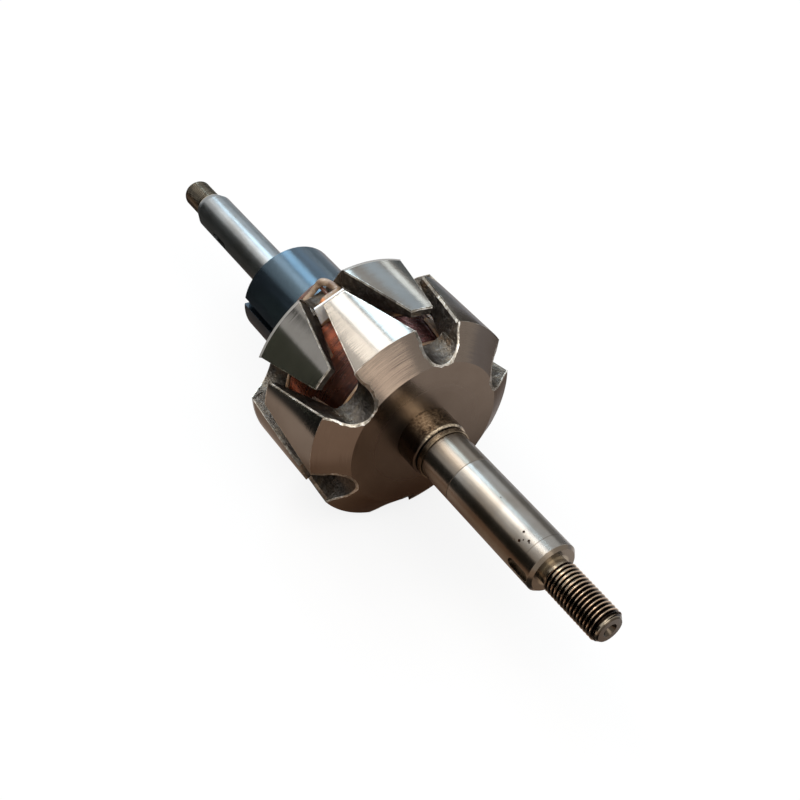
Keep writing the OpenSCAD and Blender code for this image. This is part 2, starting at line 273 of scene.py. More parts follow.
def makePoleSteel(name, side, notchAngle):
    # turned outside, bevel and face; forged everywhere else; bright where handling wore the edges
    f = Finish(name, Metallic=1.0, Specular_Tint=(0.50, 0.47, 0.45, 1))
    look, worn = poleFinish, wearSizes
    depth = (f.x - middleX) * side - rimX                          # outward of the rim
    aboveBevel = (depth * look["bevelFall"] + (f.radius - poleR) * look["bevelDepth"]) / look["bevelSlant"]
    onRim = f.radius.step(poleR - 0.5 * mm, poleR - 0.25 * mm)
    onBevel = aboveBevel.step(-0.45 * mm, -0.2 * mm) * depth.step(-0.4 * mm, 0.1 * mm)
    onFace = depth.step(look["faceFrom"], look["faceTo"])
    onEnd = onBevel.most(onFace)
    machined = onRim.most(onEnd)
    cut, cutMark = f.turned(*look["cut"])
    ground = f.turned(*look["ground"])[0]
    rough, lumps, grit = forgedNormal(f)
    clouds = f.noise(55, 4.0, 0.6)
    cloudy = clouds.step(0.2, 0.8)
    endColour = f.blend(cloudy, *look["end"])
    endColour = f.blend(f.marks(1700.0, 40.0, 3.0).step(0.5, 0.8) * 0.13, endColour, look["endMarks"])
    rimColour = f.blend(cloudy, *look["rim"])
    stain = f.noise(140, 4.0, 0.65, turn=0.6).step(0.56, 0.72)
    rimColour = f.blend(stain * 0.10, rimColour, look["stain"])
    machinedColour = f.blend(onEnd, rimColour, endColour)
    forgedColour = f.ramp(f.noise(90, 5.0, 0.65, turn=0.5), *look["rust"])
    forgedColour = f.blend(lumps.step(0.45, 0.75) * 0.5, forgedColour, look["lump"])
    colour = f.blend(machined, forgedColour, machinedColour)
    roughness = (0.10 + clouds * 0.04) * (1 - onEnd) + (0.12 + cutMark * 0.08) * onEnd
    roughness = roughness + onFace * f.radius.step(look["hubFrom"], look["hubTo"], look["hubRough"], 0.0)
    roughness = roughness * machined + (0.28 + grit * 0.25) * (1 - machined)
    smooth = ground.scaled(1 - onEnd) + cut.scaled(onEnd)
    normal = smooth.scaled(machined) + rough.scaled(1 - machined)
    angle = f.add("ShaderNodeMath", {"operation": "ARCTAN2"}, [f.z, f.y])["Value"]
    first = math.radians(notchAngle)
    ragged = f.noise(330, 3.0, 0.6, turn=0.3)
    gap, wayOut = notchGap(f, angle, first)
    chamfer = (gap - ragged * worn["notchBand"]).fall(-0.05 * mm, 0.05 * mm) * onEnd * (1 - onRim)
    clawEdge = clawGap(f, angle, first, depth) - ragged * worn["clawBand"]
    atEdge = clawEdge.fall(-0.06 * mm, 0.06 * mm) * onRim
    under = poleR - worn["frontUnder" if side > 0 else "rearUnder"]
    justUnder = (f.radius + ragged * 0.5 * mm).step(under, under + 0.3 * mm)
    underEdge = justUnder * (1 - onRim) * depth.fall(-1.2 * mm, -0.5 * mm)
    rubbed = atEdge.most(underEdge) * f.noise(75, 3.0, 0.6).step(0.34, 0.44)
    wornColour = f.ramp(f.noise(420, 4.0, 0.65, turn=0.4), *look["worn"])
    wornColour = f.blend(f.noise(85, 3.0, 0.6).step(0.42, 0.60) * 0.75, wornColour, look["wornDim"])
    colour = f.blend(chamfer.most(rubbed * 0.8), colour, wornColour)
    roughness = roughness + chamfer * look["wornRough"] + rubbed * look["wornRough"]
    normal = normal.scaled(1 - chamfer) + (rough - wayOut.scaled(0.75)).scaled(chamfer)
    outward = f.vector(0.0, f.y / f.radius, f.z / f.radius)
    normal = normal + outward.scaled(underEdge * 0.8)
    if side < 0:                                                    # the rear rim's broken edge is dry and pale
        dryRim = (depth + ragged * 0.4 * mm).step(-1.35 * mm, -1.1 * mm) * onRim
        colour = f.blend(dryRim, colour, look["dry"])
        roughness = roughness + dryRim * look["dryRough"]
        f.join(f.shader.inputs["Metallic"], 1 - dryRim * 0.75)
    return f.finishWith(Base_Color=colour, Roughness=roughness, Normal=normal)


wornFinish = {"stops": ((0.34, (0.10, 0.085, 0.070)), (0.48, (0.36, 0.325, 0.27)), (0.62, (0.72, 0.69, 0.64))),
              "coarse": 0.3 * mm, "fine": 0.12 * mm}


def makeWornEdge():
    # rubbed corners of the forging, bright with cream patches
    f = Finish("wornForgedEdge", Metallic=1.0)
    patch = f.noise(260, 4.0, 0.65, turn=0.4)
    rough = forgedNormal(f, wornFinish["coarse"], wornFinish["fine"])[0]
    colour = f.ramp(patch, *wornFinish["stops"])
    return f.finishWith(Base_Color=colour, Roughness=0.26 + patch * 0.28, Normal=rough)


shaftFinish = {
    # each pit's place along the axis in mm, its angle and its size in mm
    "rustPits": ((61.0, 110, 0.55), (62.4, 128, 0.75), (65.6, 115, 0.6), (63.6, 121, 0.35), (41.5, 96, 0.3),
                 (60.2, 133, 0.3), (66.4, 117, 0.35), (30.0, 240, 0.5), (52.0, 300, 0.45), (55.0, 318, 0.6)),
    "bearingRing": 68.7 * mm, "brownTo": 18.8 * mm, "rearFrom": -95 * mm, "rearTo": -110 * mm, "tailX": -221 * mm,
    "bare": ((0.235, 0.222, 0.203), (0.295, 0.283, 0.262)), "marks": (0.15, 0.125, 0.10),
    "brown": (0.175, 0.140, 0.104), "film": (0.19, 0.145, 0.10), "ring": (0.10, 0.08, 0.06),
    "oilTint": (0.70, 0.61, 0.51), "rearTint": (0.93, 1.02, 1.12), "pit": (0.035, 0.016, 0.008),
    "oil": ((0.30, 0.255, 0.19), (0.44, 0.375, 0.29)), "grime": (0.060, 0.047, 0.034),
    "shoulder": (0.150, 0.120, 0.090), "grind": (0.016, 0.003)}


def makeGroundSteel():
    f, look = Finish("groundShaftSteel", Metallic=1.0), shaftFinish
    seat = mounts["front_bearing_seat"]["dims"]
    seatEnd, seatR, endX = seat["length_mm"] * mm, seat["r_mm"] * mm, high("shaft").x
    clouds = f.noise(60, 4.0, 0.6)
    colour = f.blend(clouds.step(0.3, 0.75), *look["bare"])
    colour = f.blend(f.marks(700.0, 40.0, 3.0, 0.65).step(0.52, 0.80) * 0.03, colour, look["marks"])
    brownTo = look["brownTo"]
    nearRing = f.x.fall(brownTo - 0.2 * mm, brownTo + 0.2 * mm) * f.x.step(-4 * mm, 0.0)
    colour = f.blend(nearRing * 0.65, colour, look["brown"])
    film = f.noise(38, 3.0, 0.5, turn=0.8).step(0.5, 0.7)
    colour = f.blend(film * 0.25, colour, look["film"])
    # painted shade: the front seat darker and browner toward -Y
    seatSideShade = f.y.fall(-9.5 * mm, -5.0 * mm) * f.x.step(14 * mm, 40 * mm)
    colour = f.blend(seatSideShade, colour, f.blend(1.0, colour, look["oilTint"], "MULTIPLY"))
    ring = abs(f.x - look["bearingRing"]).fall(0.12 * mm, 0.35 * mm)
    colour = f.blend(ring * 0.5, colour, look["ring"])
    rearPart = f.x.fall(look["rearTo"], look["rearFrom"])
    # painted reflection: the rear part of the shaft tinted blue like the sky that it mirrors
    colour = f.blend(rearPart, colour, f.blend(1.0, colour, look["rearTint"], "MULTIPLY"))
    pits = None
    for along, degrees, size in look["rustPits"]:
        turn = math.radians(degrees)
        centre = (along * mm, seatR * math.cos(turn), seatR * math.sin(turn))
        gap = f.add("ShaderNodeVectorMath", {"operation": "DISTANCE"}, [f.spot, centre])["Value"]
        pit = gap.fall(size * 0.6 * mm, size * 1.1 * mm)
        pits = pit if pits is None else pits.most(pit)
    colour = f.blend(pits, colour, look["pit"])
    oily = f.x.step(seatEnd + 1.2 * mm, seatEnd + 1.7 * mm).most(f.x.fall(look["tailX"], look["tailX"] + 0.6 * mm))
    oilColour = f.blend(clouds.step(0.35, 0.65), *look["oil"])
    # the end faces darker, and the centre holes painted dark as the shade inside them
    darkEndAndHoles = f.x.step(endX - 1.2 * mm, endX - 0.4 * mm).most(f.radius.fall(3.0 * mm, 3.6 * mm))
    oilColour = f.blend(darkEndAndHoles, oilColour, look["grime"])
    colour = f.blend(oily, colour, oilColour)
    shoulder = f.x.step(seatEnd - 0.1 * mm, seatEnd + 0.3 * mm) * f.radius.step(7.3 * mm, 8.4 * mm)
    colour = f.blend(shoulder, colour, look["shoulder"])
    roughness = 0.21 + clouds * 0.06 + rearPart * 0.06 + pits * 0.5
    normal = f.bump(pits, -0.2 * mm, normal=f.turned(*look["grind"])[0])
    return f.finishWith(Base_Color=colour, Roughness=roughness, Normal=normal)


def makeThreadSteel(name, root, crest, rootR, crestR):
    f = Finish(name, Metallic=1.0)
    patch = f.noise(240, 4.0, 0.6, turn=0.4)
    height = f.radius.step(rootR, crestR)
    # the near-black roots are painted shade in the grooves, and the light crests a painted highlight
    dark = f.blend(patch.step(0.3, 0.7), root, tuple(v * 1.9 for v in root))
    lit = f.blend(patch.step(0.35, 0.7), crest, tuple(v * 0.6 for v in crest))
    colour = f.blend(height, dark, lit)
    grit = f.noise(2600, 2.0, 0.6)
    return f.finishWith(Base_Color=colour, Roughness=0.12 + patch * 0.12, Normal=f.bump(grit, 0.03 * mm))


oiledFinish = {"stops": ((0.36, (0.05, 0.037, 0.025)), (0.45, (0.19, 0.15, 0.105)),
                         (0.54, (0.44, 0.36, 0.26)), (0.64, (0.74, 0.64, 0.49))),
               "caked": (0.058, 0.043, 0.032), "ring": (0.20, 0.155, 0.105), "marks": (0.12, 0.05)}


def makeOiledSteel():
    f, look = Finish("oiledCollarSteel", Metallic=1.0), oiledFinish
    patch, grain = f.noise(85, 5.0, 0.65), f.noise(950, 3.0, 0.6)
    colour = f.ramp(patch * 0.55 + grain * 0.45, *look["stops"])
    colour = f.blend(f.y.step(-10.5 * mm, -6.5 * mm), look["caked"], colour)     # the -Y side painted dark as shade
    onRing = f.x.step(-2.9 * mm, -2.6 * mm)
    colour = f.blend(onRing * 0.7, colour, look["ring"])
    marks = f.turned(*look["marks"])[0]
    grit = f.noise(1500, 3.0, 0.6)
    normal = f.bump(grit, 0.09 * mm, normal=f.bump(patch, 0.18 * mm, normal=marks))
    return f.finishWith(Base_Color=colour, Roughness=0.15 + patch * 0.12, Normal=normal)


mouldingFinish = {"body": ((0.0022, 0.0028, 0.0036), (0.0042, 0.0053, 0.0070)), "tint": (0.47, 0.76, 1.0, 1),
                  "scuff": (0.022, 0.025, 0.028), "dust": (0.05, 0.052, 0.055)}


def makeBlackMoulding():
    look = mouldingFinish
    # the blue specular tint is a painted reflection: it colours the sheen blue
    f = Finish("blackSleeveMoulding", Metallic=0.0, Specular_IOR_Level=0.95, Specular_Tint=look["tint"])
    patch = f.noise(70, 4.0, 0.6)
    scuffs = f.noise(1.0, 4.0, 0.7, at=f.vector(f.x * 260.0, f.y * 60.0, f.z * 60.0)).step(0.58, 0.78)
    colour = f.blend(patch.step(0.3, 0.7), *look["body"])
    colour = f.blend(scuffs * 0.4, colour, look["scuff"])
    dust = f.noise(900, 2.0, 0.6).step(0.68, 0.8)
    colour = f.blend(dust * 0.35, colour, look["dust"])
    grain = f.noise(1800, 3.0, 0.6)
    return f.finishWith(Base_Color=colour, Roughness=0.19 + patch * 0.07 + scuffs * 0.06,
                        Normal=f.bump(grain, 0.02 * mm))


windingFinish = {"soaked": (0.060, 0.022, 0.014), "gap": (0.02, 0.006, 0.004), "varnish": (0.016, 0.005, 0.004)}


def makeWindingCopper(name, bright, dull):
    # brighter toward -Y and darker, more purple toward +Y; the front of the -Y side and the gaps between strands
    # are painted shade
    f, look = Finish(name, Metallic=0.9, Coat_Weight=0.7, Coat_Roughness=0.08), windingFinish
    strand = f.noise(1.0, 2.0, 0.6, at=f.vector(f.x * 1000.0, f.y * 35.0, f.z * 35.0))
    varnish = f.noise(120, 4.0, 0.6, turn=0.6)
    side = f.y.step(-9 * mm, 2 * mm)
    colour = f.blend(side, bright, dull)
    # painted shade: the front of the -Y side darker, where the claws shade the winding
    soaked = f.x.step(-57 * mm, -47 * mm) * (1 - side)
    colour = f.blend(soaked * 0.75, colour, look["soaked"])
    # painted shade: darker gaps between the strands
    colour = f.blend(strand.step(0.62, 0.35) * 0.75, colour, f.blend(0.72, colour, look["gap"]))
    colour = f.blend(varnish.step(0.46, 0.66) * 0.75, colour, f.blend(0.8, colour, look["varnish"]))
    drips = f.noise(300, 3.0, 0.6)
    return f.finishWith(Base_Color=colour, Roughness=0.16 + varnish * 0.22, Normal=f.bump(drips, 0.08 * mm))


insulationFinish = {"sheet": ((0.30, (0.95, 0.94, 0.92)), (0.55, (0.91, 0.89, 0.86)), (0.78, (0.70, 0.64, 0.54))),
                    "amber": ((0.36, 0.175, 0.045), (0.075, 0.032, 0.013)), "amberTo": (40.8 * mm, 42.2 * mm)}


def makeInsulation():
    # pale sheet, soaked amber where it stands against the winding
    f = Finish("varnishedInsulation", Metallic=0.0, Coat_Weight=0.4, Coat_Roughness=0.18,
               Subsurface_Weight=0.8, Subsurface_Radius=(1.0, 0.92, 0.80), Subsurface_Scale=1.4 * mm)
    weave = f.noise(1.0, 2.0, 0.6, at=f.vector(f.x * 500.0, f.y * 1600.0, f.z * 1600.0))
    varnish = f.noise(75, 4.0, 0.6, turn=0.7)
    sheet = f.ramp(varnish, *insulationFinish["sheet"])
    amber = f.blend(varnish.step(0.35, 0.65), *insulationFinish["amber"])
    colour = f.blend(f.radius.step(*insulationFinish["amberTo"], 0.9, 0.0), sheet, amber)
    return f.finishWith(Base_Color=colour, Roughness=0.30 + varnish * 0.2,
                        Normal=f.bump(weave, 0.05 * mm, normal=f.bump(varnish, 0.3 * mm)))


def makeSheetEdge():
    f = Finish("paleSheetEdge", Metallic=0.0, Coat_Weight=0.3, Coat_Roughness=0.2)
    patch = f.noise(320, 3.0, 0.6)
    colour = f.ramp(patch, (0.30, (0.30, 0.25, 0.19)), (0.45, (0.58, 0.55, 0.51)), (0.65, (0.74, 0.73, 0.72)))
    return f.finishWith(Base_Color=colour, Roughness=0.35 + patch * 0.2, Normal=f.bump(patch, 0.1 * mm))


def makeSleeving(name, dark, lit, bare=None):
    # bare is the copper that shows where the sleeving stops
    f = Finish(name, Metallic=0.0, Coat_Weight=0.8, Coat_Roughness=0.08)
    patch = f.noise(260, 4.0, 0.6, turn=0.4)
    colour = f.blend(patch.step(0.3, 0.7), dark, lit)
    roughness = 0.26 + patch * 0.25
    if bare:
        uncovered = f.x.step(-75.2 * mm, -74.6 * mm) * f.y.fall(-17.6 * mm, -16.0 * mm)
        colour = f.blend(uncovered, colour, bare)
        f.join(f.shader.inputs["Metallic"], uncovered * 0.85)
    braid = f.noise(2400, 2.0, 0.6)
    return f.finishWith(Base_Color=colour, Roughness=roughness, Normal=f.bump(braid, 0.06 * mm))


finishes = {
    "frontPole": makePoleSteel("frontPoleSteel", 1, 16),
    "rearPole": makePoleSteel("rearPoleSteel", -1, 46),
    "edge": makeWornEdge(),
    "shaft": makeGroundSteel(),
    "frontThread": makeThreadSteel("oiledThreadSteel", (0.008, 0.005, 0.0035), (0.56, 0.42, 0.30),
                                   7.45 * mm, 7.95 * mm),
    "rearThread": makeThreadSteel("brownedThreadSteel", (0.014, 0.011, 0.008), (0.27, 0.235, 0.18),
                                  7.15 * mm, 7.48 * mm),
    "oiled": makeOiledSteel(),
    "moulding": makeBlackMoulding(),
    "copper": makeWindingCopper("enamelledWinding", (0.44, 0.115, 0.047), (0.20, 0.070, 0.068)),
    # the core's near-black copper is painted shade seen between the turns
    "core": makeWindingCopper("windingShadeBetweenStrands", (0.050, 0.012, 0.007), (0.022, 0.008, 0.008)),
    "insulation": makeInsulation(),
    "sheetEdge": makeSheetEdge(),
    "sleeving": makeSleeving("varnishedSleeving", (0.17, 0.095, 0.052), (0.42, 0.30, 0.20),
                             bare=(0.86, 0.34, 0.13)),
    "enamel": makeSleeving("leadEnamel", (0.055, 0.022, 0.014), (0.15, 0.055, 0.030)),
}
print("finishes ready:", len(finishes))


def alone(piece=None):
    for other in bpy.context.selected_objects:
        other.select_set(False)
    if piece:
        piece.select_set(True)
        bpy.context.view_layer.objects.active = piece
    return piece


def editing(piece, *steps):
    # runs each step in edit mode with all of the piece selected at first
    alone(piece)
    bpy.ops.object.mode_set(mode="EDIT")
    bpy.ops.mesh.select_all(action="SELECT")
    for step in steps:
        step()
    bpy.ops.object.mode_set(mode="OBJECT")
    return piece


def mergePoints():
    bpy.ops.mesh.select_all(action="SELECT")
    bpy.ops.mesh.remove_doubles(threshold=0.000002)


def tidyNormals():
    mergePoints()
    bpy.ops.mesh.normals_make_consistent(inside=False)


def modify(piece, kind, **settings):
    alone(piece)
    modifier = piece.modifiers.new(kind.lower(), kind)
    for key, value in settings.items():
        setattr(modifier, key, value)
    bpy.ops.object.modifier_apply(modifier=modifier.name)
    return piece


def cut(piece, cutter, operation="DIFFERENCE"):
    modify(piece, "BOOLEAN", object=cutter, operation=operation, solver="EXACT")
    bpy.data.objects.remove(cutter)
    return piece


def smoothUnder(piece, degrees=30):
    alone(piece)
    bpy.ops.object.shade_smooth_by_angle(angle=math.radians(degrees))
    return modify(piece, "WEIGHTED_NORMAL", keep_sharp=True)      # a long face keeps its own direction


def outline(name, stations):
    # a line of edges through stations of (x, radius), grown from one point
    alone()
    bpy.ops.mesh.primitive_plane_add(size=mm)
    piece = bpy.context.object
    piece.name = piece.data.name = name
    bpy.ops.object.mode_set(mode="EDIT")
    bpy.ops.mesh.select_all(action="SELECT")
    bpy.ops.mesh.merge(type="CENTER")
    bpy.ops.transform.translate(value=(*stations[0], 0))
    for (x, radius), (nextX, nextRadius) in zip(stations, stations[1:]):
        bpy.ops.mesh.extrude_vertices_move(
            TRANSFORM_OT_translate={"value": (nextX - x, nextRadius - radius, 0)})
    bpy.ops.object.mode_set(mode="OBJECT")
    return piece


def lathe(name, stations, steps=128):
    # an outline spun round the axis
    def spin(): bpy.ops.mesh.spin(steps=steps, angle=2 * math.pi, center=(0, 0, 0), axis=(1, 0, 0))
    return editing(outline(name, stations), spin, tidyNormals)


def dress(piece, looks):
    piece.data.materials.clear()
    for look in looks.split():
        piece.data.materials.append(finishes[look])


def enter(piece, slot, *nodes):
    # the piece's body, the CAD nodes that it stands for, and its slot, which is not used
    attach(piece, "root")
    if nodes:
        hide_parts(*nodes)
    return piece


def settle(piece, looks, slot, *nodes):
    dress(piece, looks)
    return enter(piece, slot, *nodes)


def softened(node, name, width, degrees=40, before=None):
    # a copy of a CAD node, joined up, cut by what comes before, and with its edges broken
    piece = bpy.data.objects.new(name, frame["nodes"][node].data.copy())
    scene.collection.objects.link(piece)
    alone(piece)
    if piece.data.has_custom_normals:
        bpy.ops.mesh.customdata_custom_splitnormals_clear()
    editing(piece, mergePoints, lambda: bpy.ops.mesh.dissolve_limited(angle_limit=math.radians(0.4)))
    if before:
        before(piece)
    if width:
        modify(piece, "BEVEL", width=width, segments=2, limit_method="ANGLE", angle_limit=math.radians(degrees))
    return piece


shaftSizes = {"groove": 0.25 * mm, "grooveWidth": 0.45 * mm, "grooveX": 18.8 * mm, "undercut": 1.2 * mm,
              "shoulderChamfer": 1.6 * mm, "edge": 0.18 * mm, "keyWidth": 5 * mm, "keyDepth": 2.6 * mm,
              "frontKey": (11.8 * mm, 4.3 * mm, 177), "rearKey": (18.5 * mm, 27 * mm, 187), "steps": 160}


def keySlot(seatR, fromX, toX, degrees):
    # a cutter for one slot: a round end mill's path from one place to the other
    width, depth = shaftSizes["keyWidth"], shaftSizes["keyDepth"]
    alone()
    bpy.ops.mesh.primitive_cylinder_add(vertices=32, radius=width / 2, depth=depth + mm,
                                        location=(fromX, seatR - depth / 2 + mm / 2, 0),
                                        rotation=(math.pi / 2, 0, 0))
    cutter = bpy.context.object
    bpy.ops.object.transform_apply(location=True, rotation=True, scale=True)
    for vertex in cutter.data.vertices:
        if vertex.co.x > fromX + 0.0001 * mm:
            vertex.co.x += toX - fromX
    cutter.data.transform(Matrix.Rotation(math.radians(degrees), 4, "X"))
    return cutter


def buildShaft():
    s = shaftSizes
    front, rear = mounts["front_bearing_seat"]["dims"], mounts["rear_bearing_seat"]["dims"]
    frontR, rearR = front["r_mm"] * mm, rear["r_mm"] * mm
    screwR, tailScrewR = (mounts[name]["dims"]["r_mm"] * mm for name in ("front_thread", "rear_thread"))
    seatEnd = front["length_mm"] * mm
    shoulder = seatEnd + s["shoulderChamfer"]
    endX, tailX, sleeveEnd = high("shaft").x, low("shaft").x, low("rear_sleeve").x
    tailSeat, coneEnd = tailX + 22.9 * mm, tailX + 17.5 * mm
    coreR, tailCoreR, neckR = screwR - 1.25 * mm, tailScrewR - 0.66 * mm, screwR - s["undercut"]
    grooveX, half = s["grooveX"], s["grooveWidth"] / 2
    piece = lathe("shaftBody", [
        (tailX + 5 * mm, 0), (tailX + 5 * mm, 1.3 * mm), (tailX + 2.8 * mm, 1.3 * mm), (tailX, 2.9 * mm),
        (tailX, tailScrewR - 1.6 * mm), (tailX + 0.6 * mm, tailScrewR - 1.0 * mm), (tailX + 1.3 * mm, tailCoreR),
        (coneEnd, tailCoreR), (coneEnd, tailScrewR + 0.6 * mm), (tailSeat, rearR),
        (sleeveEnd + 3 * mm, rearR), (sleeveEnd + 3 * mm, rearR + 0.45 * mm),
        (frontFaceX - mm, rearR + 0.45 * mm),
        (frontFaceX - mm, frontR - 0.3 * mm), (frontFaceX + 12.9 * mm, frontR - 0.3 * mm),
        (frontFaceX + 12.9 * mm, frontR - 0.05 * mm), (-0.02 * mm, frontR - 0.05 * mm), (0.35 * mm, frontR),
        (grooveX - half, frontR), (grooveX - half / 2, frontR - s["groove"]),
        (grooveX + half / 2, frontR - s["groove"]), (grooveX + half, frontR),
        (seatEnd, frontR), (shoulder, frontR - 1.4 * mm), (shoulder, neckR), (shoulder + 3.3 * mm, neckR),
        (endX - 0.95 * mm, coreR), (endX, screwR - 1.9 * mm), (endX, 3.3 * mm), (endX - 3 * mm, 1.6 * mm),
        (endX - 6 * mm, 1.6 * mm), (endX - 6 * mm, 0)], s["steps"])
    behind, ahead, degrees = s["frontKey"]
    cut(piece, keySlot(frontR, shoulder - behind, shoulder - ahead, degrees))
    fromTail, toTail, degrees = s["rearKey"]
    cut(piece, keySlot(rearR, tailSeat + fromTail, tailSeat + toTail, degrees))
    modify(piece, "BEVEL", width=s["edge"], segments=2, limit_method="ANGLE", angle_limit=math.radians(28))
    smoothUnder(piece, 35)
    settle(piece, "shaft", "ground_steel", "shaft")
    return shoulder, screwR, tailScrewR, coneEnd


shoulderX, screwR, tailScrewR, tailConeX = buildShaft()
print("shaft turned")

threadSizes = {"front": {"pitch": 2 * mm, "depth": 1.2 * mm, "runOut": 2.9 * mm, "chamfer": 2.6 * mm},
               "rear": {"pitch": 1 * mm, "depth": 0.6 * mm, "chamfer": 2.2 * mm}, "steps": 56}


def windThread(name, fromX, toX, majorR, pitch, depth, envelope):
    # one tooth wound along the axis, then trimmed to its length and its chamfer
    startX = fromX - 1.5 * pitch
    piece = outline(name, [(startX, majorR - depth), (startX + 0.12 * pitch, majorR - depth),
                           (startX + 0.46 * pitch, majorR), (startX + 0.60 * pitch, majorR),
                           (startX + 0.94 * pitch, majorR - depth), (startX + pitch, majorR - depth)])
    modify(piece, "SCREW", axis="X", angle=2 * math.pi, screw_offset=pitch,
           iterations=int((toX - fromX) / pitch) + 3, steps=threadSizes["steps"],
           render_steps=threadSizes["steps"], use_merge_vertices=False)
    for place, outward in ((fromX, -1), (toX, 1)):
        editing(piece, mergePoints,
                lambda: bpy.ops.mesh.bisect(plane_co=(place, 0, 0), plane_no=(outward, 0, 0),
                                            use_fill=True, clear_outer=True))
    editing(piece, tidyNormals)
    cut(piece, lathe(name + "Envelope", envelope, 96), "INTERSECT")
    editing(piece, tidyNormals)
    smoothUnder(piece, 25)
    return settle(piece, name, "ground_steel", "shaft")


def buildThreads():
    frontEndX, tailEndX = high("shaft").x, low("shaft").x
    t, inner = threadSizes["front"], 6.0 * mm
    start = shoulderX + t["runOut"]
    windThread("frontThread", start, frontEndX - 0.02 * mm, screwR - 0.01 * mm, t["pitch"], t["depth"],
               [(start + 0.02 * mm, inner), (start + 0.02 * mm, screwR - 0.95 * mm), (start + mm, screwR),
                (frontEndX - t["chamfer"], screwR), (frontEndX - 0.04 * mm, screwR - 1.85 * mm),
                (frontEndX - 0.04 * mm, inner), (start + 0.02 * mm, inner)])
    t, inner = threadSizes["rear"], 5.2 * mm
    windThread("rearThread", tailEndX + 0.02 * mm, tailConeX - 0.02 * mm, tailScrewR - 0.01 * mm, t["pitch"],
               t["depth"],
               [(tailEndX + 0.05 * mm, inner), (tailEndX + 0.05 * mm, tailScrewR - 1.6 * mm),
                (tailEndX + 0.8 * mm, tailScrewR - 0.65 * mm), (tailEndX + t["chamfer"], tailScrewR),
                (tailConeX - 0.05 * mm, tailScrewR), (tailConeX - 0.05 * mm, inner),
                (tailEndX + 0.05 * mm, inner)])


buildThreads()
print("threads cut")

poleSizes = {"notchChamfer": 1.1 * mm, "flankChamfer": 0.6 * mm, "smooth": 32, "sharpFrom": 50,
             "endFacing": 0.78, "wallFacing": 0.45, "notchesFrom": 36 * mm}


def weighEdges(piece):
    # full width where a notch opens in the end face or its bevel, less on every other sharp edge
    s, mesh = poleSizes, piece.data
    outward = 1 if max(vertex.co.x for vertex in mesh.vertices) > frontFaceX - mm else -1
    sides = {}
    for polygon in mesh.polygons:
        for key in polygon.edge_keys:
            sides.setdefault(key, []).append(polygon.normal)
    weights = mesh.attributes.new("bevel_weight_edge", "FLOAT", "EDGE")
    for edge in mesh.edges:
        normals = sides.get(edge.key, [])
        if len(normals) != 2 or normals[0].angle(normals[1], 0) < math.radians(s["sharpFrom"]):
            continue
        middle = (mesh.vertices[edge.vertices[0]].co + mesh.vertices[edge.vertices[1]].co) / 2
        facing = sorted(abs(normal.x) if normal.x * outward > 0 else 0 for normal in normals)
        atEnd = facing[1] > s["endFacing"] and facing[0] < s["wallFacing"]
        inNotch = atEnd and s["notchesFrom"] < math.hypot(middle.y, middle.z)
        weights.data[edge.index].value = 1 if inNotch else s["flankChamfer"] / s["notchChamfer"]


def buildPoles():
    for node, name, look in (("front_pole", "frontPolePiece", "frontPole"),
                             ("rear_pole", "rearPolePiece", "rearPole")):
        piece = softened(node, name, 0)
        dress(piece, look + " edge")
        weighEdges(piece)
        modify(piece, "BEVEL", width=poleSizes["notchChamfer"], segments=2, limit_method="WEIGHT", material=1)
        smoothUnder(piece, poleSizes["smooth"])
        enter(piece, "pole_steel", node)


buildPoles()
print("pole pieces chamfered")

coilSizes = {"wire": 1.0 * mm, "wander": 0.9 * mm, "lift": 0.55 * mm, "steps": 84,
             "innerR": 28.6 * mm, "outerR": 39.1 * mm}


def capEnds(piece):
    # closes the wire's two open ends
    alone(piece)
    bpy.ops.object.mode_set(mode="EDIT")
    bpy.ops.mesh.select_all(action="DESELECT")
    bpy.ops.mesh.select_mode(type="EDGE")
    bpy.ops.mesh.select_non_manifold(extend=False, use_wire=False, use_multi_face=False,
                                     use_non_contiguous=False, use_verts=False)
    bpy.ops.mesh.edge_face_add()
    bpy.ops.mesh.select_all(action="SELECT")
    bpy.ops.mesh.normals_make_consistent(inside=False)
    bpy.ops.mesh.select_mode(type="VERT")
    bpy.ops.object.mode_set(mode="OBJECT")


def buildCoil():
    s, wire = coilSizes, coilSizes["wire"]
    lowX, highX, outer = low("field_coil").x, high("field_coil").x, coilSizes["outerR"]
    # the core under the turns wears the near-black copper: painted shade between the turns
    core = lathe("coilCore", [(lowX, s["innerR"]), (lowX, outer - 0.85 * wire), (highX, outer - 0.85 * wire),
                              (highX, s["innerR"]), (lowX, s["innerR"])], 96)
    smoothUnder(core, 30)
    settle(core, "core", "enamelled_copper", "field_coil")
    alone()
    bpy.ops.mesh.primitive_circle_add(vertices=8, radius=wire * 0.52,
                                      location=(lowX + wire, outer - wire * 0.80, 0))
    turns = bpy.context.object
    turns.name = turns.data.name = "coilTurns"
    bpy.ops.object.transform_apply(location=True, rotation=True, scale=True)
    modify(turns, "SCREW", axis="X", angle=2 * math.pi, screw_offset=wire,
           iterations=int((highX - lowX) / wire) - 2, steps=s["steps"], render_steps=s["steps"])
    editing(turns, mergePoints)
    sway = bpy.data.textures.new("windingSway", "CLOUDS")
    sway.noise_scale = 0.016
    modify(turns, "DISPLACE", texture=sway, strength=s["wander"], mid_level=0.5, direction="X",
           texture_coords="LOCAL")
    lift = bpy.data.textures.new("windingLift", "CLOUDS")
    lift.noise_scale, lift.cloud_type = 0.0045, "COLOR"
    modify(turns, "DISPLACE", texture=lift, strength=s["lift"], mid_level=0.5, direction="RGB_TO_XYZ",
           texture_coords="LOCAL")
    capEnds(turns)
    smoothUnder(turns, 60)
    settle(turns, "copper", "enamelled_copper")


buildCoil()
print("coil wound")

